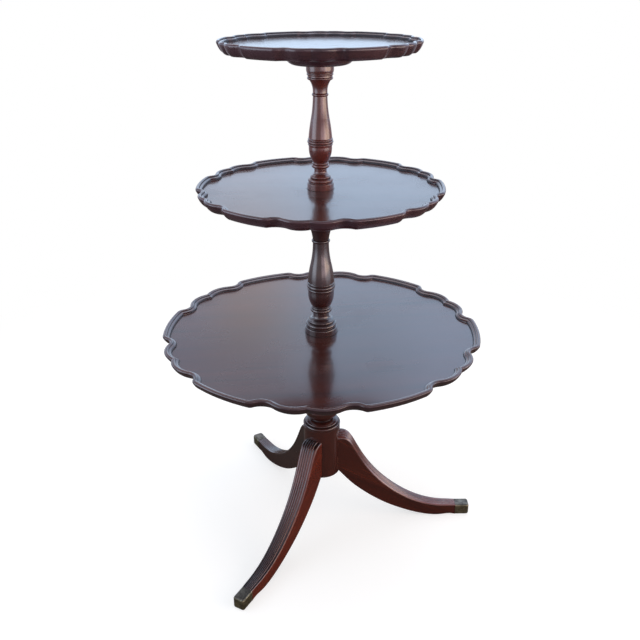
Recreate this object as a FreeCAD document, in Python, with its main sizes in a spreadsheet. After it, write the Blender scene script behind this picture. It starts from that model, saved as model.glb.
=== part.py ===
import FreeCAD, Part
import math
import os
from types import SimpleNamespace
import Sketcher

# Tiered side table: three piecrust trays on turned columns, a turned pedestal and three reeded sabre legs.
# Millimetres, +Z up. The origin is on the floor, on the axis of the columns. One leg points along +X.

doc = FreeCAD.newDocument("TieredTable")

drivingSizes = {
    # Heights above the floor
    "bottomRimTop": 449,
    "middleRimTop": 732,
    "topRimTop": 976,
    "hubFoot": 119,
    "legShoulder": 209,
    # Trays
    "bottomTrayRadius": 304,
    "middleTrayRadius": 221.5,
    "topTrayRadius": 170.5,
    "bottomRimWidth": 14.5,
    "middleRimWidth": 12.5,
    "topRimWidth": 10.5,
    "trayThickness": 20,
    "recessDepth": 8,
    # Cleats under the trays
    "topCleatRadius": 61,
    "middleCleatRadius": 57,
    "bottomCleatRadius": 80,
    "cleatThickness": 20,
    # Girth of the turned pieces at the widest ring, and of the drum that carries the legs
    "upperGirth": 23,
    "lowerGirth": 26.9,
    "urnGirth": 46,
    "hubRadius": 37.2,
    "hubHeight": 126,
    # Tenon of the upper column in the top cleat
    "tenonRadius": 11,
    "tenonLength": 14,
    # Studs and threaded inserts between the columns
    "studRadius": 5,
    "studInColumn": 40,
    "studInInsert": 18,
    "insertRadius": 7.5,
    "insertLength": 22,
    "studHoleDepth": 30,
    # Countersunk screws of the cleats
    "screwRadius": 2.1,
    "screwHeadRadius": 4.2,
    "screwHeadHeight": 2.6,
    "screwBite": 9,
    # Legs
    "legReach": 318,
    "legWidth": 37.5,
    "legCrown": 4,
    "reedRise": 1.7,
    "beadRise": 2.6,
    "beadDrop": 2.5,
    "toeWidth": 23,
    "toeHeight": 24,
    "toeCrown": 0.6,
    "dowelRadius": 5,
    "dowelInHub": 20,
    "dowelInLeg": 22,
    "lowerDowelHeight": 146,
    "upperDowelHeight": 178,
    # Brass toe caps and their pins
    "capLength": 29.5,
    "capWidth": 24,
    "capHeight": 25.6,
    "capWall": 2.2,
    "capRound": 4.6,
    "pinRadius": 1.1,
    "pinLength": 7,
    # Clearance of glued and screwed fits, and how far a cutting tool runs past a face
    "fitGap": 0.1,
    "overrun": 6,
}

# Angles, counts and the share that halves a size
halfShare = 0.5
repeatCount = 6
trayTurn = 25
legSides = ("right", "back", "front")
legTurns = {side: index * 360 / len(legSides) for index, side in enumerate(legSides)}
screwTurns = (45, 135, 225, 315)

# Piecrust outline of a tray. Two lobes meet in a notch, a dip follows each of them, and a rounded ear ends
# the long crest up to the next dip. The lobe's and the dip's radius and the dip's depth are shares of the
# tray's radius, the lobe's place of half a repeat, and the ear's radius of the rim's width.
scallopShares = {
    "lobeRadius": 0.181,
    "lobeTurn": 0.177,
    "dipRadius": 0.069,
    "dipDepth": 0.043,
    "earRadius": 1.15,
}

# Rim moulding: shares of the rim's width inwards, and of the tray's thickness or the recess downwards
edgeShares = ((1.05, 1.0), (0.68, 0.86), (0.3, 0.58), (0.06, 0.3), (0.0, 0.16), (0.09, 0.045), (0.3, 0.0))
beadShares = ((0.3, 0.0), (0.44, 0.05), (0.52, 0.2))
stepShares = ((0.52, 0.2), (0.56, 0.36))
ovoloShares = ((0.56, 0.36), (0.72, 0.43), (0.86, 0.62), (0.93, 0.88))
skirtShares = ((0.93, 0.88), (0.95, 1.0))

# Turned profiles, from the foot up: (radius, height) ends a straight stroke, and a row of two such pairs is
# an arc through the first pair. Radii are shares of the girth, heights of the piece's length.
upperShares = (
    (1.035, 0.0),
    (1.035, 0.0453),
    (1.025, 0.0505, 0.985, 0.0545),
    (0.925, 0.056),
    (0.925, 0.0615),
    (0.935, 0.0625),
    (0.972, 0.0762, 0.9, 0.0905),
    (0.8, 0.0925),
    (0.775, 0.0935),
    (0.81, 0.103, 0.765, 0.113),
    (0.735, 0.1165),
    (0.53, 0.1325, 0.487, 0.16),
    (0.487, 0.172),
    (0.52, 0.1765),
    (0.6, 0.1795),
    (0.69, 0.193, 0.635, 0.2065),
    (0.605, 0.208),
    (0.632, 0.2155, 0.6, 0.223),
    (0.575, 0.226),
    (0.8, 0.2797, 0.888, 0.3543),
    (0.898, 0.3645),
    (0.925, 0.3665),
    (0.95, 0.3725, 0.925, 0.3785),
    (0.9, 0.3805),
    (0.9, 0.3835),
    (0.945, 0.3845),
    (0.998, 0.3945, 0.94, 0.4045),
    (0.915, 0.4055),
    (0.915, 0.4085),
    (0.935, 0.4095),
    (0.958, 0.4145, 0.93, 0.4195),
    (0.9, 0.4245),
    (0.8236, 0.498, 0.695, 0.583),
    (0.594, 0.662, 0.547, 0.745),
    (0.54, 0.7555),
    (0.565, 0.757),
    (0.618, 0.768, 0.565, 0.779),
    (0.545, 0.781),
    (0.545, 0.792),
    (0.625, 0.8443, 0.81, 0.8815),
    (0.9, 0.8835),
    (0.93, 0.8865),
    (0.96, 0.8955, 0.93, 0.9035),
    (0.912, 0.905),
    (0.912, 0.9155),
    (0.955, 0.9175),
    (0.985, 0.9248, 0.965, 0.932),
    (0.955, 0.9335),
    (0.955, 0.9365),
    (0.985, 0.9385),
    (1.012, 0.949, 1.022, 0.964),
    (1.022, 1.0),
)
lowerShares = (
    (1.152, 0.0),
    (1.152, 0.0422),
    (1.14, 0.0468, 1.1, 0.0502),
    (1.04, 0.0515),
    (1.04, 0.0578),
    (1.055, 0.0588),
    (1.098, 0.0735, 1.02, 0.0868),
    (0.95, 0.0885),
    (0.925, 0.0895),
    (0.96, 0.0998, 0.91, 0.1085),
    (0.885, 0.1125),
    (0.654, 0.1225, 0.575, 0.148),
    (0.575, 0.166),
    (0.61, 0.1705),
    (0.69, 0.1745),
    (0.77, 0.1885, 0.715, 0.2015),
    (0.685, 0.203),
    (0.712, 0.2095, 0.675, 0.216),
    (0.645, 0.2185),
    (0.86, 0.272, 0.925, 0.3375),
    (0.93, 0.3505),
    (0.945, 0.352),
    (0.965, 0.359, 0.945, 0.366),
    (0.925, 0.368),
    (0.925, 0.371),
    (0.955, 0.372),
    (1.0, 0.3845, 0.955, 0.3965),
    (0.93, 0.398),
    (0.93, 0.401),
    (0.945, 0.402),
    (0.968, 0.408, 0.945, 0.414),
    (0.925, 0.4175),
    (0.862, 0.4825, 0.715, 0.5645),
    (0.609, 0.629, 0.556, 0.71),
    (0.552, 0.7255),
    (0.575, 0.727),
    (0.632, 0.738, 0.575, 0.749),
    (0.556, 0.7505),
    (0.562, 0.757),
    (0.651, 0.8056, 0.84, 0.8645),
    (0.905, 0.867),
    (0.93, 0.87),
    (0.958, 0.878, 0.93, 0.886),
    (0.912, 0.8875),
    (0.912, 0.8965),
    (0.945, 0.898),
    (0.972, 0.905, 0.95, 0.9115),
    (0.94, 0.913),
    (0.94, 0.916),
    (0.965, 0.918),
    (0.985, 0.93, 0.993, 0.948),
    (0.993, 1.0),
)
# Drum, its two rings and the low dome on top: radii are shares of the drum's radius, heights of the hub
drumShares = (
    (0.965, 0.0),
    (0.99, 0.004, 1.0, 0.0145),
    (1.0, 0.8746),
    (0.972, 0.8795),
    (0.972, 0.8905),
    (0.985, 0.893),
    (1.016, 0.9143, 0.985, 0.935),
    (0.87, 0.938),
    (0.885, 0.9445),
    (0.912, 0.9595, 0.885, 0.9745),
    (0.875, 0.976),
    (0.74, 0.9925, 0.56, 1.0),
)
# Cup and urn above the hub: radii are shares of the girth, heights of the length from the hub to the cleat
urnShares = (
    (0.443, 0.004),
    (0.443, 0.009),
    (0.672, 0.065, 0.783, 0.128),
    (0.79, 0.139),
    (0.815, 0.152, 0.79, 0.165),
    (0.78, 0.167),
    (0.785, 0.17),
    (0.8, 0.172),
    (0.845, 0.186, 0.82, 0.2),
    (0.81, 0.203),
    (0.9, 0.245, 0.935, 0.305),
    (0.945, 0.312),
    (0.985, 0.328, 0.945, 0.3445),
    (0.92, 0.3475),
    (0.92, 0.353),
    (0.95, 0.3555),
    (1.0, 0.374, 0.957, 0.392),
    (0.935, 0.397),
    (0.86, 0.471, 0.69, 0.573),
    (0.56, 0.656, 0.515, 0.7335),
    (0.543, 0.7385),
    (0.587, 0.758, 0.543, 0.777),
    (0.517, 0.783),
    (0.526, 0.8195),
    (0.609, 0.8755, 0.761, 0.913),
    (0.8, 0.9165),
    (0.8, 0.9305),
    (0.783, 0.9325),
    (0.783, 0.938),
    (0.862, 0.9545, 0.88, 0.977),
    (0.88, 1.0),
)
# Cleat: radii are shares of its radius, heights of its thickness
cleatShares = (
    (0.76, 0.0),
    (0.86, 0.15, 0.95, 0.52),
    (0.985, 0.78),
    (1.0, 0.8),
    (1.0, 1.0),
)

# Stations of a leg from inside the drum to the toe cap: the lower edge and the upper arris, as shares of the
# leg's span outwards. Lower heights are shares of the drum's foot, upper ones of the rise to the shoulder.
legShares = (
    (-0.06, 1.15, -0.06, 0.985),
    (0.02, 0.972, 0.02, 0.971),
    (0.075, 0.838, 0.055, 0.952),
    (0.15, 0.682, 0.115, 0.833),
    (0.255, 0.505, 0.21, 0.605),
    (0.39, 0.32, 0.345, 0.377),
    (0.555, 0.157, 0.52, 0.183),
    (0.73, 0.04, 0.71, 0.054),
    (0.875, 0.012, 0.87, 0.009),
    (1.0, 0.008, 1.0, 0.0),
)
# Across a leg, as shares of half its width: the flat sides under the beads, and the valleys of the fine reeds
flankShare = 0.965
reedShares = (0.58, 0.29, 0.0, -0.29, -0.58)


class Length:
    # A length that remembers the sheet formula it comes from, so that a feature can be bound to it
    def __init__(self, value, formula):
        self.value = value
        self.formula = formula

    def __add__(self, other):
        return Length(self.value + other.value, f"({self.formula} + {other.formula})")

    def __sub__(self, other):
        return Length(self.value - other.value, f"({self.formula} - {other.formula})")

    def __mul__(self, share):
        return Length(self.value * share, f"({self.formula} * {share})")

    def mean(self, other):
        return Length((self.value + other.value) / 2, f"(({self.formula} + {other.formula}) / 2)")


sheet = doc.addObject("Spreadsheet::Sheet", "Sizes")
for row, (alias, number) in enumerate(drivingSizes.items(), start=1):
    sheet.set(f"A{row}", alias)
    sheet.set(f"B{row}", str(number))
    sheet.setAlias(f"B{row}", alias)
doc.recompute()
lengths = {alias: Length(float(sheet.get(alias)), f"Sizes.{alias}") for alias in drivingSizes}
size = SimpleNamespace(**lengths)
zero = Length(0.0, "0")

# Heights and sizes that follow from the driving ones
bottomSeat = size.bottomRimTop - size.recessDepth
middleSeat = size.middleRimTop - size.recessDepth
bottomUnderside = size.bottomRimTop - size.trayThickness
middleUnderside = size.middleRimTop - size.trayThickness
topUnderside = size.topRimTop - size.trayThickness
pedestalTop = bottomUnderside - size.cleatThickness
lowerColumnTop = middleUnderside - size.cleatThickness
upperColumnTop = topUnderside - size.cleatThickness
hubTop = size.hubFoot + size.hubHeight
studHole = size.studRadius + size.fitGap
insertHole = size.insertRadius + size.fitGap
dowelHole = size.dowelRadius + size.fitGap
pinHole = size.pinRadius + size.fitGap
screwHole = size.screwRadius + size.fitGap
toeShoulder = size.legReach - size.capLength
legSpan = toeShoulder - size.hubRadius
pinOut = toeShoulder + size.capLength * halfShare
pinAcross = size.capWidth * halfShare
pinHeight = size.capHeight * halfShare
pieces = {}


def keep(feature, label):
    feature.Label = label
    pieces[label] = feature
    return feature


def bind(feature, prop, length):
    feature.setExpression(prop, length.formula)


def bindPlace(feature, x, y, z, rotation):
    feature.Placement = FreeCAD.Placement(FreeCAD.Vector(x.value, y.value, z.value), rotation)
    bind(feature, "Placement.Base.x", x)
    bind(feature, "Placement.Base.y", y)
    bind(feature, "Placement.Base.z", z)


def originPlane(body, role):
    return next(plane for plane in body.Origin.OriginFeatures if plane.Role == role)


def newSketch(body, name, role):
    sketch = body.newObject("Sketcher::SketchObject", name)
    sketch.AttachmentSupport = [(originPlane(body, role), "")]
    sketch.MapMode = "FlatFace"
    return sketch


def pinPoint(sketch, geometry, position, across, along):
    # Ties a sketch point to its two lengths from the sketch's origin
    for kind, length, axis in (("DistanceX", across, -2), ("DistanceY", along, -1)):
        if length is zero:
            sketch.addConstraint(Sketcher.Constraint("PointOnObject", geometry, position, axis))
        else:
            index = sketch.addConstraint(Sketcher.Constraint(kind, geometry, position, length.value))
            bind(sketch, f"Constraints[{index}]", length)


def flat(point):
    return FreeCAD.Vector(point[0].value, point[1].value, 0)


def turnedBody(name, strokes):
    # A body turned about Z from a closed profile. Each stroke ends at a (radius, height) pair, through
    # another one where it is an arc, and the first stroke only gives the starting point.
    body = doc.addObject("PartDesign::Body", name)
    sketch = newSketch(body, name + "Profile", "XZ_Plane")
    start = strokes[0]
    corner = start
    count = len(strokes)
    for stroke in strokes[1:] + (start,):
        end = stroke[-2:]
        if len(stroke) == 4:
            sketch.addGeometry(Part.Arc(flat(corner), flat(stroke[:2]), flat(end)))
        else:
            sketch.addGeometry(Part.LineSegment(flat(corner), flat(end)))
        corner = end
    lines = range(count)
    for line, stroke in zip(lines, strokes):
        # An arc that the solver stores the other way round starts where the stroke ends
        pinPoint(sketch, line, nearEnd(sketch, line, stroke[-2:]), *stroke[-2:])
    for line in lines:
        following = (line + 1) % count
        joint = strokes[following][-2:]
        ends = (nearEnd(sketch, line, joint), nearEnd(sketch, following, joint))
        sketch.addConstraint(Sketcher.Constraint("Coincident", line, ends[0], following, ends[1]))
    for line, stroke in zip(lines, strokes[1:]):
        if len(stroke) == 4:
            through = sketch.addGeometry(Part.Point(flat(stroke[:2])), True)
            sketch.addConstraint(Sketcher.Constraint("PointOnObject", through, 1, line))
            pinPoint(sketch, through, 1, *stroke[:2])
    turning = body.newObject("PartDesign::Revolution", name + "Turning")
    turning.Profile = sketch
    turning.ReferenceAxis = (sketch, ["V_Axis"])
    turning.Angle = 360
    body.Tip = turning
    return body


def nearEnd(sketch, line, point):
    target = flat(point)
    return min((1, 2), key=lambda end: (sketch.getPoint(line, end) - target).Length)


def profile(shares, girth, foot, length):
    # Turns a table of shares into strokes of real lengths
    strokes = []
    for row in shares:
        stroke = []
        for radius, height in zip(row[0::2], row[1::2]):
            stroke += [girth * radius, foot + length * height]
        strokes.append(tuple(stroke))
    return tuple(strokes)


def cylinder(name, radius, height, x, y, z, rotation):
    rod = doc.addObject("Part::Cylinder", name)
    bind(rod, "Radius", radius)
    bind(rod, "Height", height)
    bindPlace(rod, x, y, z, rotation)
    return rod


upright = FreeCAD.Rotation()


def group(name, members):
    bundle = doc.addObject("Part::Compound", name)
    bundle.Links = members
    return bundle


def drilled(label, base, tools):
    # The piece left when the tools are cut out of the base
    cut = doc.addObject("Part::Cut", label.title().replace("_", ""))
    cut.Base = base
    cut.Tool = group(label.title().replace("_", "") + "Tools", tools)
    return keep(cut, label)


def around(out, across, turn):
    # The x and y of a point that lies so far out and across, after a turn about the axis
    cosine = math.cos(math.radians(turn))
    sine = math.sin(math.radians(turn))
    return out * cosine - across * sine, out * sine + across * cosine


def polar(reach, turn):
    return FreeCAD.Vector(reach * math.cos(turn), reach * math.sin(turn), 0)


def turnBetween(near, far, gap):
    # The angle, seen from the axis, between two points so far out and with that gap between them
    return math.acos((near * near + far * far - gap * gap) / (2 * near * far))


def scallopRun(radius, rimWidth, inset):
    # Half a repeat at an inset from the edge, from the notch to the middle of the crest. Each arc keeps its
    # centre at every inset, so neighbouring arcs stay tangent and the rim is as wide all round.
    half = math.pi / repeatCount
    lobe = radius * scallopShares["lobeRadius"]
    dip = radius * scallopShares["dipRadius"]
    ear = rimWidth * scallopShares["earRadius"]
    lobeReach = radius - lobe
    dipReach = radius * (1 - scallopShares["dipDepth"]) + dip
    lobeTurn = half * scallopShares["lobeTurn"]
    dipTurn = lobeTurn + turnBetween(lobeReach, dipReach, lobe + dip)
    earTurn = dipTurn + turnBetween(dipReach, radius - ear, dip + ear)
    lobeCentre = polar(lobeReach, lobeTurn)
    dipCentre = polar(dipReach, dipTurn)
    earCentre = polar(radius - ear, earTurn)
    lobeToDip = (dipCentre - lobeCentre).normalize()
    dipToEar = (earCentre - dipCentre).normalize()
    earOutwards = (polar(1, earTurn) - dipToEar).normalize()
    lobe -= inset
    dip += inset
    ear -= inset
    notch = FreeCAD.Vector(lobeCentre.x + math.sqrt(lobe * lobe - lobeCentre.y * lobeCentre.y), 0, 0)
    return [
        notch,
        polar(lobeReach + lobe, lobeTurn),
        lobeCentre + lobeToDip * lobe,
        polar(dipReach - dip, dipTurn),
        dipCentre + dipToEar * dip,
        earCentre + earOutwards * ear,
        polar(radius - inset, earTurn),
        polar(radius - inset, half),
    ]


def scallopWire(radius, rimWidth, inset, height):
    # The closed piecrust outline at an inset from the tray's edge, made of arcs
    step = 2 * math.pi / repeatCount
    run = [(point.Length, math.atan2(point.y, point.x)) for point in scallopRun(radius, rimWidth, inset)]
    run += [(reach, step - turn) for reach, turn in reversed(run[:-1])]
    edges = []
    for repeat in range(repeatCount):
        start = math.radians(trayTurn) + repeat * step
        points = [polar(reach, start + turn) + FreeCAD.Vector(0, 0, height) for reach, turn in run]
        for first in range(0, len(points) - 1, 2):
            edges.append(Part.Arc(*points[first : first + 3]).toShape())
    return Part.Wire(edges)


def trayShape(radius, rimWidth, rimTop):
    # Underside, moulded edge, bead, step, ovolo, skirt and sunk field, sewn to one solid
    recess = size.recessDepth.value
    bands = [(edgeShares, size.trayThickness.value)]
    bands += [(shares, recess) for shares in (beadShares, stepShares, ovoloShares, skirtShares)]
    faces = []
    outlines = []
    for shares, drop in bands:
        wires = [
            scallopWire(radius, rimWidth, rimWidth * inward, rimTop - drop * down) for inward, down in shares
        ]
        faces += Part.makeLoft(wires, False, False).Faces
        outlines += wires
    faces += [Part.Face(outlines[0]), Part.Face(outlines[-1])]
    shell = Part.makeShell(faces)
    shell.sewShape()
    tray = Part.makeSolid(shell)
    if tray.Volume < 0:
        tray.reverse()
    return tray


def makeTray(tier, radius, rimWidth, rimTop, boreRadius, screwCircle):
    blank = doc.addObject("Part::Feature", tier.title() + "TrayBlank")
    blank.Shape = trayShape(radius.value, rimWidth.value, rimTop.value)
    underside = rimTop - size.trayThickness
    tools = []
    for turn in screwTurns:
        x, y = around(screwCircle, zero, turn)
        name = f"{tier.title()}TrayPilot{turn}"
        tools.append(cylinder(name, screwHole, size.screwBite + size.fitGap, x, y, underside, upright))
    if boreRadius is not zero:
        name = tier.title() + "TrayBore"
        tools.append(cylinder(name, boreRadius, size.trayThickness, zero, zero, underside, upright))
    drilled(tier + "_tray", blank, tools)


def makeScrew(name, gap, x, y, foot, length):
    # A countersunk screw, or with a gap the hole that it goes through
    head = doc.addObject("Part::Cone", name + "Head")
    bind(head, "Radius1", size.screwHeadRadius + gap)
    bind(head, "Radius2", size.screwRadius + gap)
    bind(head, "Height", size.screwHeadHeight)
    bindPlace(head, x, y, foot, upright)
    shank = cylinder(name + "Shank", size.screwRadius + gap, length, x, y, foot, upright)
    screw = doc.addObject("Part::Fuse", name)
    screw.Base = head
    screw.Tool = shank
    return screw


def makeCleat(tier, radius, underside, boreRadius, screwCircle):
    foot = underside - size.cleatThickness
    strokes = ((boreRadius, foot),) + profile(cleatShares, radius, foot, size.cleatThickness)
    blank = turnedBody(tier.title() + "CleatBlank", strokes + ((boreRadius, underside),))
    screws = []
    holes = []
    for turn in screwTurns:
        x, y = around(screwCircle, zero, turn)
        name = f"{tier.title()}Screw{turn}"
        screws.append(makeScrew(name, zero, x, y, foot, size.cleatThickness + size.screwBite))
        holes.append(makeScrew(name + "Hole", size.fitGap, x, y, foot, size.cleatThickness))
    drilled(tier + "_cleat", blank, holes)
    keep(group(tier.title() + "CleatScrews", screws), tier + "_cleat_screws")


def makeTiers():
    capital = upperShares[-1][0]
    foot = cleatShares[0][0]
    topCircle = (size.upperGirth * capital).mean(size.topCleatRadius * foot)
    middleCircle = (size.lowerGirth * lowerShares[-1][0]).mean(size.middleCleatRadius * foot)
    bottomCircle = (size.urnGirth * urnShares[-1][0]).mean(size.bottomCleatRadius * foot)
    makeTray("top", size.topTrayRadius, size.topRimWidth, size.topRimTop, zero, topCircle)
    makeTray("middle", size.middleTrayRadius, size.middleRimWidth, size.middleRimTop, studHole, middleCircle)
    makeTray("bottom", size.bottomTrayRadius, size.bottomRimWidth, size.bottomRimTop, studHole, bottomCircle)
    makeCleat("top", size.topCleatRadius, topUnderside, size.tenonRadius + size.fitGap, topCircle)
    makeCleat("middle", size.middleCleatRadius, middleUnderside, studHole, middleCircle)
    makeCleat("bottom", size.bottomCleatRadius, bottomUnderside, studHole, bottomCircle)


def socketStrokes(top):
    # From the rim of an insert's socket down to the bottom of the stud's hole on the axis
    ledge = top - size.insertLength
    floor = top - size.studHoleDepth
    return ((insertHole, top), (insertHole, ledge), (studHole, ledge), (studHole, floor), (zero, floor))


def makeColumns():
    studTop = middleSeat + size.studInColumn + size.fitGap
    strokes = ((studHole, middleSeat),)
    strokes += profile(upperShares, size.upperGirth, middleSeat, upperColumnTop - middleSeat)
    tenonTop = upperColumnTop + size.tenonLength
    strokes += ((size.tenonRadius, upperColumnTop), (size.tenonRadius, tenonTop), (zero, tenonTop))
    strokes += ((zero, studTop), (studHole, studTop))
    keep(turnedBody("UpperColumn", strokes), "upper_column")

    studTop = bottomSeat + size.studInColumn + size.fitGap
    strokes = ((studHole, bottomSeat),)
    strokes += profile(lowerShares, size.lowerGirth, bottomSeat, lowerColumnTop - bottomSeat)
    strokes += socketStrokes(lowerColumnTop)
    strokes += ((zero, studTop), (studHole, studTop))
    keep(turnedBody("LowerColumn", strokes), "lower_column")


def makeJoint(column, stud, top, seat):
    # The threaded insert in a column's top, and the stud from it through cleat and tray to the column above
    name = column.title().replace("_", "") + "Insert"
    ledge = top - size.insertLength
    sleeve = cylinder(name + "Sleeve", size.insertRadius, size.insertLength, zero, zero, ledge, upright)
    bore = cylinder(name + "Bore", studHole, size.insertLength, zero, zero, ledge, upright)
    drilled(column + "_insert", sleeve, [bore])
    foot = top - size.studInInsert
    length = seat + size.studInColumn - foot
    keep(cylinder(stud.title().replace("_", ""), size.studRadius, length, zero, zero, foot, upright), stud)


def radialRod(name, radius, length, start, height, turn):
    # A rod that points outwards from the axis
    x, y = around(start, zero, turn)
    lying = FreeCAD.Rotation(FreeCAD.Vector(0, 1, 0), 90)
    outwards = FreeCAD.Rotation(FreeCAD.Vector(0, 0, 1), turn) * lying
    return cylinder(name, radius, length, x, y, height, outwards)


def makePedestal():
    strokes = ((zero, size.hubFoot),)
    strokes += profile(drumShares, size.hubRadius, size.hubFoot, size.hubHeight)
    strokes += profile(urnShares, size.urnGirth, hubTop, pedestalTop - hubTop)
    blank = turnedBody("PedestalBlank", strokes + socketStrokes(pedestalTop))
    dowels = []
    holes = []
    dowelStart = size.hubRadius - size.dowelInHub
    dowelLength = size.dowelInHub + size.dowelInLeg
    for side, turn in legTurns.items():
        for height in (size.lowerDowelHeight, size.upperDowelHeight):
            name = f"{side.title()}Dowel{len(dowels)}"
            dowels.append(radialRod(name, size.dowelRadius, dowelLength, dowelStart, height, turn))
            holeStart = dowelStart - size.fitGap
            holes.append(radialRod(name + "Hole", dowelHole, dowelLength, holeStart, height, turn))
    drilled("pedestal", blank, holes)
    keep(group("LegDowels", dowels), "leg_dowels")


def reedSection(lower, upper, up, width, crown):
    # One cross-section of a leg: flat sole and sides, a bead over each upper corner, and fine reeds between
    # the beads on a top that is crowned along up
    scale = width / size.legWidth.value
    half = FreeCAD.Vector(0, width / 2, 0)
    flank = half * flankShare
    hem = upper - up * size.beadDrop.value * scale
    crests = [upper + half * share + up * crown * (1 - share * share) for share in reedShares]
    valleys = [hem + half] + crests + [hem - half]
    rises = [size.beadRise] + [size.reedRise] * (len(crests) - 1) + [size.beadRise]
    arcs = []
    for near, far, rise in zip(valleys, valleys[1:], rises):
        chord = far - near
        outwards = FreeCAD.Vector(0, chord.dot(up), 0) - up * chord.y
        ridge = (near + far) * halfShare + outwards.normalize() * rise.value * scale
        arcs.append(Part.Arc(near, ridge, far).toShape())
    first = Part.makePolygon([lower - flank, lower + flank, hem + flank, hem + half]).Edges
    last = Part.makePolygon([hem - half, hem - flank, lower - flank]).Edges
    return Part.Wire(first + arcs + last)


def legShape():
    # A leg that points along +X: lofted through its stations, coped to the drum, with its tongue and holes
    rise = size.legShoulder.value - size.toeHeight.value
    lowers = []
    uppers = []
    for lowOut, lowUp, highOut, highUp in legShares:
        lowerX = size.hubRadius.value + legSpan.value * lowOut
        upperX = size.hubRadius.value + legSpan.value * highOut
        lowers.append(FreeCAD.Vector(lowerX, 0, size.hubFoot.value * lowUp))
        uppers.append(FreeCAD.Vector(upperX, 0, size.toeHeight.value + rise * highUp))
    sections = []
    last = len(legShares) - 1
    for station, (lower, upper) in enumerate(zip(lowers, uppers)):
        up = FreeCAD.Vector(0, 0, 1)
        if 0 < station < last:
            along = uppers[station + 1] - uppers[station - 1]
            up = FreeCAD.Vector(-along.z, 0, along.x).normalize()
        taper = max(legShares[station][2], 0)
        width = size.legWidth.value + (size.toeWidth.value - size.legWidth.value) * taper
        crown = size.legCrown.value + (size.toeCrown.value - size.legCrown.value) * taper
        sections.append(reedSection(lower, upper, up, width, crown))
    leg = Part.makeLoft(sections, True, False)
    inset = size.capWall.value + size.fitGap.value
    tongueLength = size.capLength.value - inset
    tongueWidth = size.capWidth.value - 2 * inset
    tongueHeight = size.capHeight.value - 2 * inset
    corner = FreeCAD.Vector(toeShoulder.value, -tongueWidth / 2, inset)
    leg = leg.fuse(Part.makeBox(tongueLength, tongueWidth, tongueHeight, corner))
    drum = Part.makeCylinder(size.hubRadius.value, size.bottomRimTop.value)
    leg = leg.cut(drum)
    outwards = FreeCAD.Vector(1, 0, 0)
    for height in (size.lowerDowelHeight.value, size.upperDowelHeight.value):
        depth = size.hubRadius.value + size.dowelInLeg.value + size.fitGap.value
        leg = leg.cut(Part.makeCylinder(dowelHole.value, depth, FreeCAD.Vector(0, 0, height), outwards))
    for side in (-1, 1):
        mouth = FreeCAD.Vector(pinOut.value, side * pinAcross.value, pinHeight.value)
        inwards = FreeCAD.Vector(0, -side, 0)
        depth = size.pinLength.value + size.fitGap.value
        leg = leg.cut(Part.makeCylinder(pinHole.value, depth, mouth, inwards))
    return leg.removeSplitter()


def makeLegs():
    shape = legShape()
    for side, turn in legTurns.items():
        leg = doc.addObject("Part::Feature", "Leg" + side.title())
        leg.Shape = shape
        leg.Placement = FreeCAD.Placement(FreeCAD.Vector(), FreeCAD.Rotation(FreeCAD.Vector(0, 0, 1), turn))
        keep(leg, "leg_" + side)


def capPrimitive(body, kind, name, sizes, place, rotation):
    primitive = body.newObject("PartDesign::" + kind, name)
    for prop, length in sizes.items():
        bind(primitive, prop, length)
    bindPlace(primitive, *place, rotation)
    doc.recompute()
    return primitive


def makeToeCap(side, turn):
    # A brass shoe over the leg's tongue: a rounded box, hollowed from the leg's side and bored for the pins
    name = "ToeCap" + side.title()
    body = doc.addObject("PartDesign::Body", name)
    outer = {"Length": size.capLength, "Width": size.capWidth, "Height": size.capHeight}
    heel = (toeShoulder, pinAcross * -1, zero)
    block = capPrimitive(body, "AdditiveBox", name + "Block", outer, heel, upright)
    rounding = body.newObject("PartDesign::Fillet", name + "Rounding")
    mouthEnd = toeShoulder.value + size.fitGap.value
    edges = enumerate(block.Shape.Edges, start=1)
    free = [f"Edge{index}" for index, edge in edges if edge.BoundBox.XMax > mouthEnd]
    rounding.Base = (block, free)
    bind(rounding, "Radius", size.capRound)
    doc.recompute()
    walls = size.capWall * 2
    inner = {
        "Length": size.capLength - size.capWall + size.overrun,
        "Width": size.capWidth - walls,
        "Height": size.capHeight - walls,
    }
    corner = (toeShoulder - size.overrun, size.capWall - pinAcross, size.capWall)
    capPrimitive(body, "SubtractiveBox", name + "Hollow", inner, corner, upright)
    bore = {"Radius": pinHole, "Height": size.capWidth + size.overrun * 2}
    mouth = (pinOut, pinAcross + size.overrun, pinHeight)
    sideways = FreeCAD.Rotation(FreeCAD.Vector(1, 0, 0), 90)
    body.Tip = capPrimitive(body, "SubtractiveCylinder", name + "PinHole", bore, mouth, sideways)
    body.Placement = FreeCAD.Placement(FreeCAD.Vector(), FreeCAD.Rotation(FreeCAD.Vector(0, 0, 1), turn))
    keep(body, "toe_cap_" + side)


def makeToeCaps():
    pins = []
    for side, turn in legTurns.items():
        makeToeCap(side, turn)
        for hand in (-1, 1):
            x, y = around(pinOut, pinAcross * hand, turn)
            facing = FreeCAD.Rotation(FreeCAD.Vector(1, 0, 0), 90 * hand)
            inwards = FreeCAD.Rotation(FreeCAD.Vector(0, 0, 1), turn) * facing
            name = f"{side.title()}Pin{len(pins)}"
            pins.append(cylinder(name, size.pinRadius, size.pinLength, x, y, pinHeight, inwards))
    keep(group("ToeCapPins", pins), "toe_cap_pins")


makeTiers()
makeColumns()
makePedestal()
makeJoint("lower_column", "upper_stud", lowerColumnTop, middleSeat)
makeJoint("pedestal", "lower_stud", pedestalTop, bottomSeat)
makeLegs()
makeToeCaps()
doc.recompute()

for feature in doc.Objects:
    if "Invalid" in feature.State or "Error" in feature.State:
        raise RuntimeError(f"{feature.Label} did not build: {feature.State}")
os.makedirs("parts", exist_ok=True)
for label, feature in pieces.items():
    shape = feature.Shape
    if shape.isNull() or not shape.isValid():
        raise RuntimeError(f"{label} is not a valid shape")
    print(label, len(shape.Solids), "solids", round(shape.Volume / 1000, 2), "cubic cm")
    shape.exportStep(f"parts/{label}.step")
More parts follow.
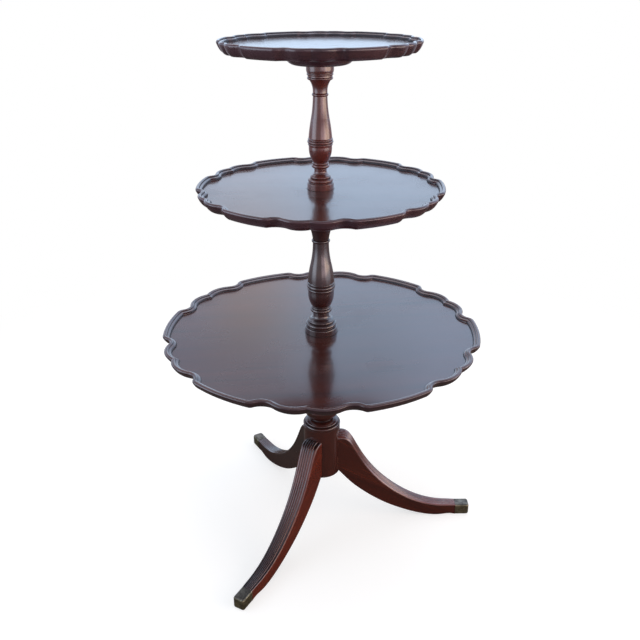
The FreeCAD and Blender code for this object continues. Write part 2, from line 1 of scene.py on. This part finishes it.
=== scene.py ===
import bpy
import math
from mathutils import Matrix, Vector


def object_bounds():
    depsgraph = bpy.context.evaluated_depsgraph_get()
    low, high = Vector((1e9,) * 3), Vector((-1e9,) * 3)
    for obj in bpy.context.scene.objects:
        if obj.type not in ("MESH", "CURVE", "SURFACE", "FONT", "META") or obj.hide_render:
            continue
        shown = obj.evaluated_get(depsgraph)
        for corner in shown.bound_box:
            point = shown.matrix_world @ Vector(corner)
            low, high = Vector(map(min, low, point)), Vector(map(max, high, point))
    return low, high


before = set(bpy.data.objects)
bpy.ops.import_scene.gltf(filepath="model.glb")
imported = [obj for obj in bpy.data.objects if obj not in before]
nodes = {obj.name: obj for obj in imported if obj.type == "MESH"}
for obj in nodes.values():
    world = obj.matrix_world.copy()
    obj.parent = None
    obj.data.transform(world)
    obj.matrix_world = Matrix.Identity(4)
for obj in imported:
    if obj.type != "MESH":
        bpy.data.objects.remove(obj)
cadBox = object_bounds()
scene = bpy.context.scene
scene.view_settings.view_transform = "Standard"
white = (1.0, 1.0, 1.0, 1.0)
quarterTurn = 90.0  # degrees
print("frame loaded:", len(nodes), "pieces")


# small helpers for node trees

def feed(tree, socket, value):
    if isinstance(value, bpy.types.NodeSocket):
        tree.links.new(value, socket)
    else:
        socket.default_value = value


def feedNamed(tree, node, sockets):
    for name, value in sockets.items():
        feed(tree, node.inputs[name], value)


def feedInOrder(tree, node, values):
    for socket, value in zip(node.inputs, values):
        feed(tree, socket, value)


def put(tree, kind, settings=None, **sockets):
    node = tree.nodes.new("ShaderNode" + kind)
    for name, value in (settings or {}).items():
        setattr(node, name, value)
    feedNamed(tree, node, sockets)
    return node


def calc(tree, operation, first, second):
    node = put(tree, "Math", {"operation": operation})
    feedInOrder(tree, node, (first, second))
    return node.outputs["Value"]


def vectorCalc(tree, operation, *vectors):
    node = put(tree, "VectorMath", {"operation": operation})
    feedInOrder(tree, node, vectors)
    return node.outputs


def mixColor(tree, factor, first, second, blend="MIX"):
    node = put(tree, "Mix", {"data_type": "RGBA", "blend_type": blend})
    feed(tree, node.inputs[0], factor)
    feed(tree, node.inputs[6], first)  # 6 and 7 are the node's two colours
    feed(tree, node.inputs[7], second)
    return node.outputs[2]


def mixValue(tree, factor, first, second):
    node = put(tree, "Mix")
    feed(tree, node.inputs[0], factor)
    feed(tree, node.inputs[2], first)  # 2 and 3 are the node's two values
    feed(tree, node.inputs[3], second)
    return node.outputs[0]


def remap(tree, value, low, high, toLow=0.0, toHigh=1.0):
    node = put(tree, "MapRange", {"interpolation_type": "SMOOTHSTEP"}, Value=value)
    for name, limit in (("From Min", low), ("From Max", high), ("To Min", toLow), ("To Max", toHigh)):
        node.inputs[name].default_value = limit
    return node.outputs[0]


def noise(tree, vector, along, across, detail, roughness, distortion):
    # long grain: the pattern's X runs with the fibres, with so many repeats per metre along and across them
    stretched = vectorCalc(tree, "MULTIPLY", vector, (along, across, across))["Vector"]
    node = put(
        tree, "TexNoise",
        Vector=stretched, Scale=1.0, Detail=detail, Roughness=roughness, Distortion=distortion,
    )
    return node.outputs["Fac"]


def newGroup(name, inputs, outputs):
    tree = bpy.data.node_groups.new(name, "ShaderNodeTree")
    for side, sockets in (("INPUT", inputs), ("OUTPUT", outputs)):
        for label, kind in sockets.items():
            tree.interface.new_socket(label, in_out=side, socket_type="NodeSocket" + kind)
    return tree, tree.nodes.new("NodeGroupInput").outputs, tree.nodes.new("NodeGroupOutput").inputs


def useGroup(tree, group, **sockets):
    node = put(tree, "Group", {"node_tree": group}, **sockets)
    return node.outputs


# shared effects: each noise is given as repeats per metre along and across, detail, roughness, distortion

figure = {
    "broad": (2.6, 34.0, 4.0, 0.55, 0.6),
    "ribbon": (0.9, 95.0, 2.0, 0.5, 0.4),
    "fine": (14.0, 420.0, 3.0, 0.6, 0.2),
    "streakShares": {"broad": 0.55, "ribbon": 0.25, "fine": 0.2},
    "darkToMiddle": (0.36, 0.5),  # streak values between one shade and the next
    "middleToLight": (0.5, 0.68),
    "pores": (95.0, 2300.0, 1.0, 0.5, 0.0),
    "poreEdge": (0.58, 0.68),
    "poreShare": 0.45,
}


def makeFigureGroup():
    inputs = {"Vector": "Vector", "Dark": "Color", "Middle": "Color", "Light": "Color"}
    tree, given, result = newGroup("mahogany figure", inputs, {"Color": "Color", "Streak": "Float"})
    streak = 0.0
    for layer, share in figure["streakShares"].items():
        pattern = noise(tree, given["Vector"], *figure[layer])
        streak = calc(tree, "ADD", streak, calc(tree, "MULTIPLY", pattern, share))
    color = mixColor(tree, remap(tree, streak, *figure["darkToMiddle"]), given["Dark"], given["Middle"])
    color = mixColor(tree, remap(tree, streak, *figure["middleToLight"]), color, given["Light"])
    pores = remap(tree, noise(tree, given["Vector"], *figure["pores"]), *figure["poreEdge"])
    color = mixColor(tree, calc(tree, "MULTIPLY", pores, figure["poreShare"]), color, given["Dark"])
    feed(tree, result["Color"], color)
    feed(tree, result["Streak"], streak)
    return tree


edgeWearAndShade = {
    "samples": 4,
    "edge": (0.99, 0.8),  # cosine of the turn that rounding gives a face, from flat to a full arris
    "groove": (0.78, 0.42),  # how open a place is, from clear to a full groove
    "patches": (60.0, 60.0, 3.0, 0.5, 0.0),
    "patchEdge": (0.38, 0.62),
}


def makeEdgeGroup():
    # convex arrises that hands have rubbed, partly real wear and partly painted highlight, and grooves and
    # recesses darkened by how hidden they are: painted shade
    inputs = {"Radius": "Float", "Reach": "Float", "Vector": "Vector"}
    tree, given, result = newGroup("rubbed edges and painted groove shade", inputs, {"Rubbed": "Float", "PaintedGrooveShade": "Float"})
    samples = {"samples": edgeWearAndShade["samples"]}
    rounded = put(tree, "Bevel", samples, Radius=given["Radius"]).outputs["Normal"]
    surface = put(tree, "NewGeometry").outputs["Normal"]
    edge = remap(tree, vectorCalc(tree, "DOT_PRODUCT", rounded, surface)["Value"], *edgeWearAndShade["edge"])
    openness = put(tree, "AmbientOcclusion", samples, Distance=given["Reach"]).outputs["AO"]
    groove = remap(tree, openness, *edgeWearAndShade["groove"])
    convex = calc(tree, "MULTIPLY", edge, calc(tree, "SUBTRACT", 1.0, groove))
    patches = remap(tree, noise(tree, given["Vector"], *edgeWearAndShade["patches"]), *edgeWearAndShade["patchEdge"])
    feed(tree, result["Rubbed"], calc(tree, "MULTIPLY", convex, patches))
    feed(tree, result["PaintedGrooveShade"], groove)
    return tree


oldPolish = {
    "cloud": (7.0, 7.0, 4.0, 0.6, 0.0),
    "cloudEdge": (0.5, 0.75),
    "cloudDulls": 0.12,
    "hairs": (18.0, 900.0, 1.0, 0.5, 1.2),
    "hairEdge": (0.7, 0.78),
    "hairDulls": 0.05,
    "roughEdge": (0.3, 0.7),  # cloud values between the two roughnesses
    "roughness": (0.20, 0.30),
}


def makePolishGroup():
    # cloudy patches and hairline scratches of an old lacquer
    outputs = {"Gloss": "Float", "Roughness": "Float"}
    tree, given, result = newGroup("old polish", {"Vector": "Vector"}, outputs)
    cloud = noise(tree, given["Vector"], *oldPolish["cloud"])
    hairs = noise(tree, given["Vector"], *oldPolish["hairs"])
    clouded = calc(tree, "MULTIPLY", remap(tree, cloud, *oldPolish["cloudEdge"]), oldPolish["cloudDulls"])
    scratched = calc(tree, "MULTIPLY", remap(tree, hairs, *oldPolish["hairEdge"]), oldPolish["hairDulls"])
    feed(tree, result["Gloss"], calc(tree, "SUBTRACT", 1.0, calc(tree, "ADD", clouded, scratched)))
    feed(tree, result["Roughness"], remap(tree, cloud, *oldPolish["roughEdge"], *oldPolish["roughness"]))
    return tree


figureGroup = makeFigureGroup()
edgeGroup = makeEdgeGroup()
polishGroup = makePolishGroup()
print("shared effects made")


# materials of the pieces

def newMaterial(name):
    material = bpy.data.materials.new(name)
    material.use_nodes = True
    tree = material.node_tree
    return material, tree, tree.nodes["Principled BSDF"]


def grainVector(tree, turn=0.0, tilt=0.0, offset=(0.0, 0.0, 0.0)):
    # X of the pattern follows the fibres: turned about Z, then tilted down from the level
    where = put(tree, "TexCoord").outputs["Object"]
    rotation = (0.0, math.radians(tilt), math.radians(turn))
    mapping = put(
        tree, "Mapping", {"vector_type": "TEXTURE"},
        Vector=where, Rotation=rotation, Location=offset,
    )
    return mapping.outputs["Vector"]


def upwards(tree):
    # 1 on faces that look straight up, 0 on upright ones
    return put(tree, "SeparateXYZ", Vector=put(tree, "TexCoord").outputs["Normal"]).outputs["Z"]


mahogany = {
    "dark": (0.060, 0.0085, 0.0050, 1.0),
    "middle": (0.135, 0.0190, 0.0095, 1.0),
    "light": (0.215, 0.0360, 0.0165, 1.0),
    # rubbed edges, lighter: partly real wear, partly a painted highlight on beads and arrises
    "rubbed": (0.48, 0.240, 0.150, 1.0),
    "edgeRadius": 0.0015,  # metres
    "level": (0.45, 0.9),  # how far up a face looks, between the tints of the sides and of the tops, which hold painted light
    # painted shade in grooves and recesses: its colour, how much of it, and how much it dulls the polish
    "paintedShade": (0.010, 0.0040, 0.0035, 1.0),
    "paintedShadeShare": 0.85,
    "grooveDulls": 0.8,
    "inner": (0.028, 0.032, 0.046, 1.0),  # painted shade inside the rims
    "innerEdge": (0.6, 0.9),  # how straight such a face looks at the axis
    "dullRoughness": 0.5,  # added where no polish is left
    "index": 1.62,
    "grainBump": 0.1,
    "grainDepth": 0.00006,
}
# each kind of piece: tint on faces that look up and on all others, partly stain and partly painted light
# (painted shade, sheen and sky reflection, set for each piece and each leg as light falls on it),
# roughness of its polish, wear of its edges (on the right leg also a painted highlight), reach of the
# painted groove shade in metres; for some, how much polish is left, on all faces or on the sides, how
# dark the painted shade inside the rim is, and a level of its own
finishes = {
    # sides tinted bluish: painted sky reflection
    "tray": {
        "top": (0.42, 0.55, 0.66, 1.0), "side": (0.60, 1.75, 4.60, 1.0),
        "coat": 0.13, "wear": 0.0, "reach": 0.007, "sideGloss": 0.40, "inner": 0.85,
    },
    # sides lighter and bluer: painted sheen
    "upper": {
        "top": (0.70, 0.90, 1.20, 1.0), "side": (1.05, 1.20, 1.50, 1.0),
        "coat": 0.22, "wear": 0.12, "reach": 0.003,
    },
    # darker all over: painted shade under the middle tray; bluer tops: painted sky reflection
    "lower": {
        "top": (0.20, 0.50, 1.10, 1.0), "side": (0.30, 0.48, 0.80, 1.0),
        "coat": 0.15, "wear": 0.05, "reach": 0.003,
    },
    # darker: painted shade under the bottom tray
    "pedestal": {
        "top": (0.45, 0.55, 0.70, 1.0), "side": (0.50, 0.60, 0.74, 1.0),
        "coat": 0.20, "wear": 0.25, "reach": 0.004,
    },
    # tops lighter, bluer and tan: painted sky reflection and painted highlight; its strong wear also paints
    # highlights on the beads
    "right": {
        "top": (1.40, 2.90, 5.00, 1.0), "side": (0.60, 0.62, 0.64, 1.0),
        "coat": 0.16, "wear": 0.60, "reach": 0.0025, "level": (0.15, 0.6),
    },
    # darker all over: painted shade
    "back": {
        "top": (0.40, 0.46, 0.54, 1.0), "side": (0.26, 0.34, 0.40, 1.0),
        "coat": 0.18, "wear": 0.10, "reach": 0.0025,
    },
    # dark tops and bright sides: painted light, the sides lit from the right
    "front": {
        "top": (0.12, 0.24, 0.44, 1.0), "side": (1.00, 0.98, 0.92, 1.0),
        "coat": 0.18, "wear": 0.04, "reach": 0.0025, "gloss": 0.6,
    },
}
finishes["bottom"] = {**finishes["tray"], "side": (0.36, 1.00, 2.60, 1.0)}  # a tray with a darker edge: more painted shade and less painted reflection on its sides


def inwards(tree):
    # faces that look towards the axis of a tray
    coordinates = put(tree, "TexCoord").outputs
    flat = vectorCalc(tree, "MULTIPLY", coordinates["Object"], (-1.0, -1.0, 0.0))["Vector"]
    towards = vectorCalc(tree, "NORMALIZE", flat)["Vector"]
    lean = vectorCalc(tree, "DOT_PRODUCT", towards, coordinates["Normal"])["Value"]
    return remap(tree, lean, *mahogany["innerEdge"])


def lacquered(name, kind, **grainPlace):
    material, tree, shader = newMaterial(name)
    finish = finishes[kind]
    vector = grainVector(tree, **grainPlace)
    shades = {shade.title(): mahogany[shade] for shade in ("dark", "middle", "light")}
    grain = useGroup(tree, figureGroup, Vector=vector, **shades)
    edges = useGroup(tree, edgeGroup, Vector=vector, Radius=mahogany["edgeRadius"], Reach=finish["reach"])
    polish = useGroup(tree, polishGroup, Vector=vector)
    level = remap(tree, upwards(tree), *finish.get("level", mahogany["level"]))
    # colour: grain, rubbed edges that also stand for painted highlights, a tone over both that holds painted
    # light by the way a face looks, then painted shade in the grooves
    rubbed = calc(tree, "MULTIPLY", edges["Rubbed"], finish["wear"])
    color = mixColor(tree, rubbed, grain["Color"], mahogany["rubbed"])
    # tone of the piece together with painted light: faces tinted by which way they look
    toneAndPaintedLight = mixColor(tree, level, finish["side"], finish["top"])
    color = mixColor(tree, 1.0, color, toneAndPaintedLight, "MULTIPLY")
    # painted shade darkens the grooves and recesses
    paintedGrooveShade = calc(tree, "MULTIPLY", edges["PaintedGrooveShade"], mahogany["paintedShadeShare"])
    color = mixColor(tree, paintedGrooveShade, color, mahogany["paintedShade"])
    dulled = calc(tree, "MULTIPLY", edges["PaintedGrooveShade"], mahogany["grooveDulls"])
    # inside faces of the rims darkened and dulled: painted shade
    if "inner" in finish:
        inner = calc(tree, "MULTIPLY", inwards(tree), finish["inner"])
        color = mixColor(tree, inner, color, mahogany["inner"])
        dulled = calc(tree, "MAXIMUM", dulled, inner)
    # polish: less of it where the surface is dull, and on the sides of the trays
    gloss = finish.get("gloss", 1.0)
    glossLeft = mixValue(tree, level, finish.get("sideGloss", gloss), gloss)
    coat = calc(tree, "MULTIPLY", polish["Gloss"], calc(tree, "SUBTRACT", 1.0, dulled))
    rougher = calc(tree, "MULTIPLY", dulled, mahogany["dullRoughness"])
    bump = put(
        tree, "Bump",
        Height=grain["Streak"], Strength=mahogany["grainBump"], Distance=mahogany["grainDepth"],
    )
    feedNamed(tree, shader, {
        "Base Color": color,
        "Roughness": calc(tree, "ADD", polish["Roughness"], rougher),
        "IOR": mahogany["index"],
        "Coat Weight": calc(tree, "MULTIPLY", coat, glossLeft),
        "Coat Roughness": finish["coat"],
        "Coat IOR": mahogany["index"],
        "Normal": bump.outputs["Normal"],
    })
    return material


toeBrass = {
    "patina": (90.0, 90.0, 5.0, 0.62, 0.0),
    "dark": (0.15, 0.128, 0.090, 1.0),
    "light": (0.36, 0.310, 0.215, 1.0),
    "darkToLight": (0.35, 0.7),  # patina values between them
    "roughEdge": (0.3, 0.7),  # patina values between the two roughnesses
    "roughness": (0.52, 0.4),
    "bright": (0.52, 0.45, 0.33, 1.0),  # on rubbed edges
    "edgeRadius": 0.0012,
    "reach": 0.006,
    "wear": 0.8,
    "top": (0.74, 0.80, 0.96, 1.0),  # tints on faces that look up and on all others: painted sky reflection on the tops, painted light on the sides
    "side": (1.30, 1.34, 1.20, 1.0),
    "level": (0.3, 0.8),
    "speckle": (700.0, 700.0, 2.0, 0.5, 0.0),
    "speckleBump": 0.15,
    "speckleDepth": 0.0003,
}


def agedBrass(name):
    material, tree, shader = newMaterial(name)
    where = put(tree, "TexCoord").outputs["Object"]
    patina = noise(tree, where, *toeBrass["patina"])
    edges = useGroup(tree, edgeGroup, Vector=where, Radius=toeBrass["edgeRadius"], Reach=toeBrass["reach"])
    color = mixColor(tree, remap(tree, patina, *toeBrass["darkToLight"]), toeBrass["dark"], toeBrass["light"])
    rubbed = calc(tree, "MULTIPLY", edges["Rubbed"], toeBrass["wear"])
    color = mixColor(tree, rubbed, color, toeBrass["bright"])
    # tops tinted bluish and sides lighter: painted reflection and painted light
    toneAndPaintedLight = mixColor(tree, remap(tree, upwards(tree), *toeBrass["level"]), toeBrass["side"], toeBrass["top"])
    bump = put(
        tree, "Bump",
        Height=noise(tree, where, *toeBrass["speckle"]),
        Strength=toeBrass["speckleBump"], Distance=toeBrass["speckleDepth"],
    )
    feedNamed(tree, shader, {
        "Base Color": mixColor(tree, 1.0, color, toneAndPaintedLight, "MULTIPLY"),
        "Metallic": 1.0,
        "Roughness": remap(tree, patina, *toeBrass["roughEdge"], *toeBrass["roughness"]),
        "Normal": bump.outputs["Normal"],
    })
    return material


metals = {
    "zinc": {"dark": (0.36, 0.36, 0.37, 1.0), "light": (0.55, 0.55, 0.56, 1.0)},
    "brass": {"dark": (0.50, 0.36, 0.14, 1.0), "light": (0.70, 0.53, 0.24, 1.0)},
}
turning = {
    "rings": (120.0, 120.0, 3.0, 0.5, 0.0),
    "roughEdge": (0.3, 0.7),
    "roughness": (0.26, 0.42),
}


def turnedMetal(name, metal):
    material, tree, shader = newMaterial(name)
    rings = noise(tree, put(tree, "TexCoord").outputs["Object"], *turning["rings"])
    feedNamed(tree, shader, {
        "Base Color": mixColor(tree, rings, metals[metal]["dark"], metals[metal]["light"]),
        "Metallic": 1.0,
        "Roughness": remap(tree, rings, *turning["roughEdge"], *turning["roughness"]),
    })
    return material


beech = {
    "shades": {
        "Dark": (0.30, 0.19, 0.10, 1.0), "Middle": (0.44, 0.29, 0.16, 1.0), "Light": (0.56, 0.40, 0.24, 1.0),
    },
    "roughness": 0.62,
}


def bareBeech(name):
    material, tree, shader = newMaterial(name)
    grain = useGroup(tree, figureGroup, Vector=grainVector(tree), **beech["shades"])
    feedNamed(tree, shader, {"Base Color": grain["Color"], "Roughness": beech["roughness"]})
    return material


def dress(node, material):
    mesh = nodes[node].data
    mesh.materials.clear()
    mesh.materials.append(material)


# grain of the pieces: turns in degrees from +X, shifts in metres so that no two show the same figure
trays = {"top": ("tray", 3.0), "middle": ("tray", -4.0), "bottom": ("bottom", 6.0)}  # finish, turn
trayShift = 0.4  # for each degree of turn
for tier, (kind, turn) in trays.items():
    board = lacquered(f"mahogany {tier} tray", kind, turn=turn, offset=(trayShift * turn, 0.0, 0.0))
    dress(tier + "_tray", board)
    dress(tier + "_cleat", lacquered(f"mahogany {tier} cleat", "tray", turn=quarterTurn + turn))
    dress(tier + "_cleat_screws", turnedMetal(f"zinc screws {tier}", "zinc"))

columns = {"upper_column": ("upper", 0.3), "lower_column": ("lower", 0.7), "pedestal": ("pedestal", 1.1)}
for column, (kind, shift) in columns.items():
    dress(column, lacquered("mahogany " + column, kind, tilt=-quarterTurn, offset=(shift, shift, 0.0)))

legs = {"right": 0.0, "back": 120.0, "front": 240.0}
legTilt = 30.0
legShift = 0.01  # for each degree of turn
for side, turn in legs.items():
    shift = (0.0, 0.0, legShift * turn)
    dress("leg_" + side, lacquered(f"mahogany {side} leg", side, turn=turn, tilt=legTilt, offset=shift))
    dress("toe_cap_" + side, agedBrass(f"aged brass {side} toe"))

dress("toe_cap_pins", agedBrass("aged brass pins"))
for stud in ("upper_stud", "lower_stud"):
    dress(stud, turnedMetal("zinc " + stud, "zinc"))
for insert in ("lower_column_insert", "pedestal_insert"):
    dress(insert, turnedMetal("brass " + insert, "brass"))
dress("leg_dowels", bareBeech("beech dowels"))
print("pieces dressed")


# floor, lamps, world and camera

frontWindow = {
    "left": (0.30, 0.22, 0.20, 1.0),
    "right": (1.80, 1.40, 1.50, 1.0),
    "start": (0.05, 0.15),  # slopes, seen from above, over which the window sets in on its left
    "end": (1.8, 1.0),  # and on its right
    "top": (0.17, 0.07),  # heights over which both set in, from above
    "least": 0.01,  # keeps the slope finite
}


def makeWindowGroup():
    # what the polish mirrors low down in front: dim on the left, a bright window on the right
    tree, given, result = newGroup("front window", {"Vector": "Vector"}, {"Color": "Color"})
    axes = put(tree, "SeparateXYZ", Vector=given["Vector"]).outputs
    ahead = calc(tree, "MAXIMUM", calc(tree, "MULTIPLY", axes["Y"], -1.0), frontWindow["least"])
    slope = calc(tree, "DIVIDE", axes["X"], ahead)
    starts = remap(tree, slope, *frontWindow["start"])
    window = calc(tree, "MULTIPLY", starts, remap(tree, slope, *frontWindow["end"]))
    feed(tree, result["Color"], mixColor(tree, window, frontWindow["left"], frontWindow["right"]))
    return tree


windowGroup = makeWindowGroup()

floorLook = {
    "corners": 96,
    "radius": 6.0,
    "pale": (0.46, 0.46, 0.46, 1.0),  # as the camera sees it, under the lift
    "lift": 0.64,
    "clear": (0.75, 1.5),  # distances over which it turns white
    "near": (0.10, 0.085, 0.075, 1.0),  # as the polish mirrors it and as it bounces light: darker under the table, a painted shadow of the table, lighter further off
    "far": (0.42, 0.38, 0.42, 1.0),
    "nearToFar": (1.5, 2.8),
    "sheen": (4.2, 6.0),  # brighter still far out: a painted pool of light, glowing for the polish only
}


def makeFloor():
    bpy.ops.mesh.primitive_circle_add(
        vertices=floorLook["corners"], radius=floorLook["radius"], fill_type="NGON",
    )
    floor = bpy.context.object
    floor.name = "floor"
    material, tree, shader = newMaterial("pale floor")
    tree.nodes.remove(shader)
    where = put(tree, "TexCoord").outputs["Object"]
    distance = vectorCalc(tree, "LENGTH", where)["Value"]
    path = put(tree, "LightPath").outputs
    camera = path["Is Camera Ray"]
    # darker near the table: painted shadow of the table, in the floor's mirrored and bounced colour
    outwards = remap(tree, distance, *floorLook["nearToFar"])
    mirrored = mixColor(tree, outwards, floorLook["near"], floorLook["far"])
    paint = put(tree, "BsdfDiffuse", Color=mixColor(tree, camera, mirrored, floorLook["pale"]))
    # far out the floor glows for the polish only: a painted pool of light
    sheen = calc(tree, "MULTIPLY", remap(tree, distance, *floorLook["sheen"]), path["Is Glossy Ray"])
    strength = calc(tree, "MAXIMUM", calc(tree, "MULTIPLY", camera, floorLook["lift"]), sheen)
    glow = mixColor(tree, camera, useGroup(tree, windowGroup, Vector=where)["Color"], white)
    lift = put(tree, "Emission", Color=glow, Strength=strength)
    near = put(tree, "AddShader")
    feedInOrder(tree, near, (paint.outputs[0], lift.outputs[0]))
    clear = put(tree, "Emission", Color=white, Strength=1.0)
    fade = calc(tree, "MULTIPLY", remap(tree, distance, *floorLook["clear"]), camera)
    blend = put(tree, "MixShader")
    feedInOrder(tree, blend, (fade, near.outputs[0], clear.outputs[0]))
    feedNamed(tree, tree.nodes["Material Output"], {"Surface": blend.outputs[0]})
    floor.data.materials.append(material)


warmLight = (1.0, 0.75, 0.59)
lamps = {
    "warm panel": {"at": (1.8, -0.70, 0.72), "size": (3.0, 0.8), "power": 24.0, "color": warmLight},
    "warm fill": {
        "at": (1.7, -0.75, 1.25), "size": (2.0, 1.0), "power": 15.0, "color": warmLight,
        "mirrored": False,  # the polish doesn't show it
    },
    "low panel": {"at": (1.8, -0.70, 0.28), "size": (2.6, 0.50), "power": 4.0, "color": (0.76, 0.86, 1.0)},
    "cool panel": {"at": (-1.8, -0.70, 0.85), "size": (2.1, 2.1), "power": 26.0, "color": (0.74, 0.84, 1.0)},
    "sky panel": {"at": (0.0, 0.80, 2.65), "size": (3.2, 3.2), "power": 28.0, "color": (0.84, 0.92, 1.0)},
}
softEdge = 0.3  # share of a panel over which it fades out
aim = Vector((0.0, 0.0, 0.5 * cadBox[1].z))  # half way up the table


def soften(tree):
    # a panel that glows less towards its edges
    axes = put(tree, "SeparateXYZ", Vector=put(tree, "NewGeometry").outputs["Parametric"]).outputs
    glow = 1.0
    for axis in ("X", "Y"):
        rim = calc(tree, "MINIMUM", axes[axis], calc(tree, "SUBTRACT", 1.0, axes[axis]))
        glow = calc(tree, "MULTIPLY", glow, remap(tree, rim, 0.0, softEdge))
    emission = next(node for node in tree.nodes if node.type == "EMISSION")
    feed(tree, emission.inputs["Strength"], glow)


def makeLamps():
    for name, lamp in lamps.items():
        data = bpy.data.lights.new(name, "AREA")
        data.shape = "RECTANGLE"
        data.size, data.size_y = lamp["size"]
        data.energy = lamp["power"]
        data.color = lamp["color"]
        data.use_nodes = True
        soften(data.node_tree)
        panel = bpy.data.objects.new(name, data)
        scene.collection.objects.link(panel)
        panel.location = lamp["at"]
        panel.rotation_euler = (aim - panel.location).to_track_quat("-Z", "Y").to_euler()
        panel.visible_camera = False
        panel.visible_glossy = lamp.get("mirrored", True)


# what the polish mirrors; limits are an axis, where a patch sets in along it and where it is full
sky = {
    "horizon": (0.86, 1.06, 1.34, 1.0),
    "upper": (0.69, 0.905, 1.21, 1.0),
    "rise": [("Z", 0.08, 0.5)],
    "warmLeft": (1.08, 0.74, 0.56, 1.0),  # tints of the left side, higher up
    "dimLeft": (0.83, 0.71, 0.67, 1.0),
    "left": [("X", 0.03, -0.09), ("Z", 0.2, 0.38)],
    "dimOutwards": [("X", -0.09, -0.17)],
    "dimUpwards": [("Z", 0.43, 0.49)],
    "front": (0.30, 0.33, 0.38, 1.0),  # darker on the camera's side
    "ahead": [("Y", 0.05, -0.3)],
    "ground": (0.38, 0.35, 0.39, 1.0),  # beyond the floor's edge
    "aboveGround": [("Z", -0.01, 0.02)],
}
# tints laid over the sky one after the other
skyTints = {
    "cool left": {
        "tint": (0.70, 0.79, 0.85, 1.0),
        "limits": [("Z", 0.42, 0.45), ("Z", 0.495, 0.465), ("X", -0.03, -0.11)],
    },
    "right": {"tint": (1.14, 1.18, 1.22, 1.0), "limits": [("X", 0.07, 0.17), ("Z", 0.38, 0.46)]},
    "steep": {"tint": (0.96, 0.80, 0.76, 1.0), "limits": [("Z", 0.505, 0.56)]},  # front of the trays
}
# soft light of the room on everything else, from the sides and from above
room = {"low": (0.21, 0.21, 0.22, 1.0), "high": (0.92, 0.95, 1.0, 1.0), "rise": [("Z", 0.0, 0.9)]}


def makeWorld():
    world = bpy.data.worlds.new("studio")
    scene.world = world
    world.use_nodes = True
    tree = world.node_tree
    tree.nodes.clear()
    direction = put(tree, "TexCoord").outputs["Generated"]
    axes = put(tree, "SeparateXYZ", Vector=direction).outputs

    def within(limits):
        share = 1.0
        for axis, start, full in limits:
            share = calc(tree, "MULTIPLY", share, remap(tree, axes[axis], start, full))
        return share

    reflected = mixColor(tree, within(sky["rise"]), sky["horizon"], sky["upper"])
    dim = calc(tree, "MAXIMUM", within(sky["dimOutwards"]), within(sky["dimUpwards"]))
    leftTint = mixColor(tree, dim, sky["warmLeft"], sky["dimLeft"])
    reflected = mixColor(tree, within(sky["left"]), reflected, leftTint, "MULTIPLY")
    for patch in skyTints.values():
        reflected = mixColor(tree, within(patch["limits"]), reflected, patch["tint"], "MULTIPLY")
    ahead = within(sky["ahead"])
    reflected = mixColor(tree, ahead, reflected, sky["front"])
    reflected = mixColor(tree, within(sky["aboveGround"]), sky["ground"], reflected)
    low = calc(tree, "MULTIPLY", ahead, remap(tree, axes["Z"], *frontWindow["top"]))
    window = useGroup(tree, windowGroup, Vector=direction)["Color"]
    reflected = mixColor(tree, low, reflected, window, "ADD")
    path = put(tree, "LightPath").outputs
    mirrored = calc(tree, "MAXIMUM", path["Is Glossy Ray"], path["Is Transmission Ray"])
    ambient = mixColor(tree, within(room["rise"]), room["low"], room["high"])
    color = mixColor(tree, mirrored, ambient, reflected)
    color = mixColor(tree, path["Is Camera Ray"], color, white)
    background = put(tree, "Background", Color=color, Strength=1.0)
    put(tree, "OutputWorld", Surface=background.outputs[0])


view = {
    "distance": 1.32962,  # from the columns' axis, metres
    "height": 1.0814,
    "heading": -0.516,  # degrees
    "pitch": -24.901,
    "roll": -0.283,
    "lens": 42.65,  # millimetres
    "sensor": 36.0,
    "shift": -0.00195,  # share of the frame
}


def makeCamera():
    data = bpy.data.cameras.new("camera")
    data.lens = view["lens"]
    data.sensor_width = view["sensor"]
    data.shift_x = view["shift"]
    camera = bpy.data.objects.new("camera", data)
    scene.collection.objects.link(camera)
    heading = Matrix.Rotation(math.radians(view["heading"]), 4, "Z")
    place = heading @ Matrix.Translation((0.0, -view["distance"], view["height"]))
    tilt = Matrix.Rotation(math.radians(quarterTurn + view["pitch"]), 4, "X")  # unturned, it looks down
    roll = Matrix.Rotation(math.radians(view["roll"]), 4, "Z")
    camera.matrix_world = place @ tilt @ roll
    scene.camera = camera


makeFloor()
makeLamps()
makeWorld()
makeCamera()
print("stage set")
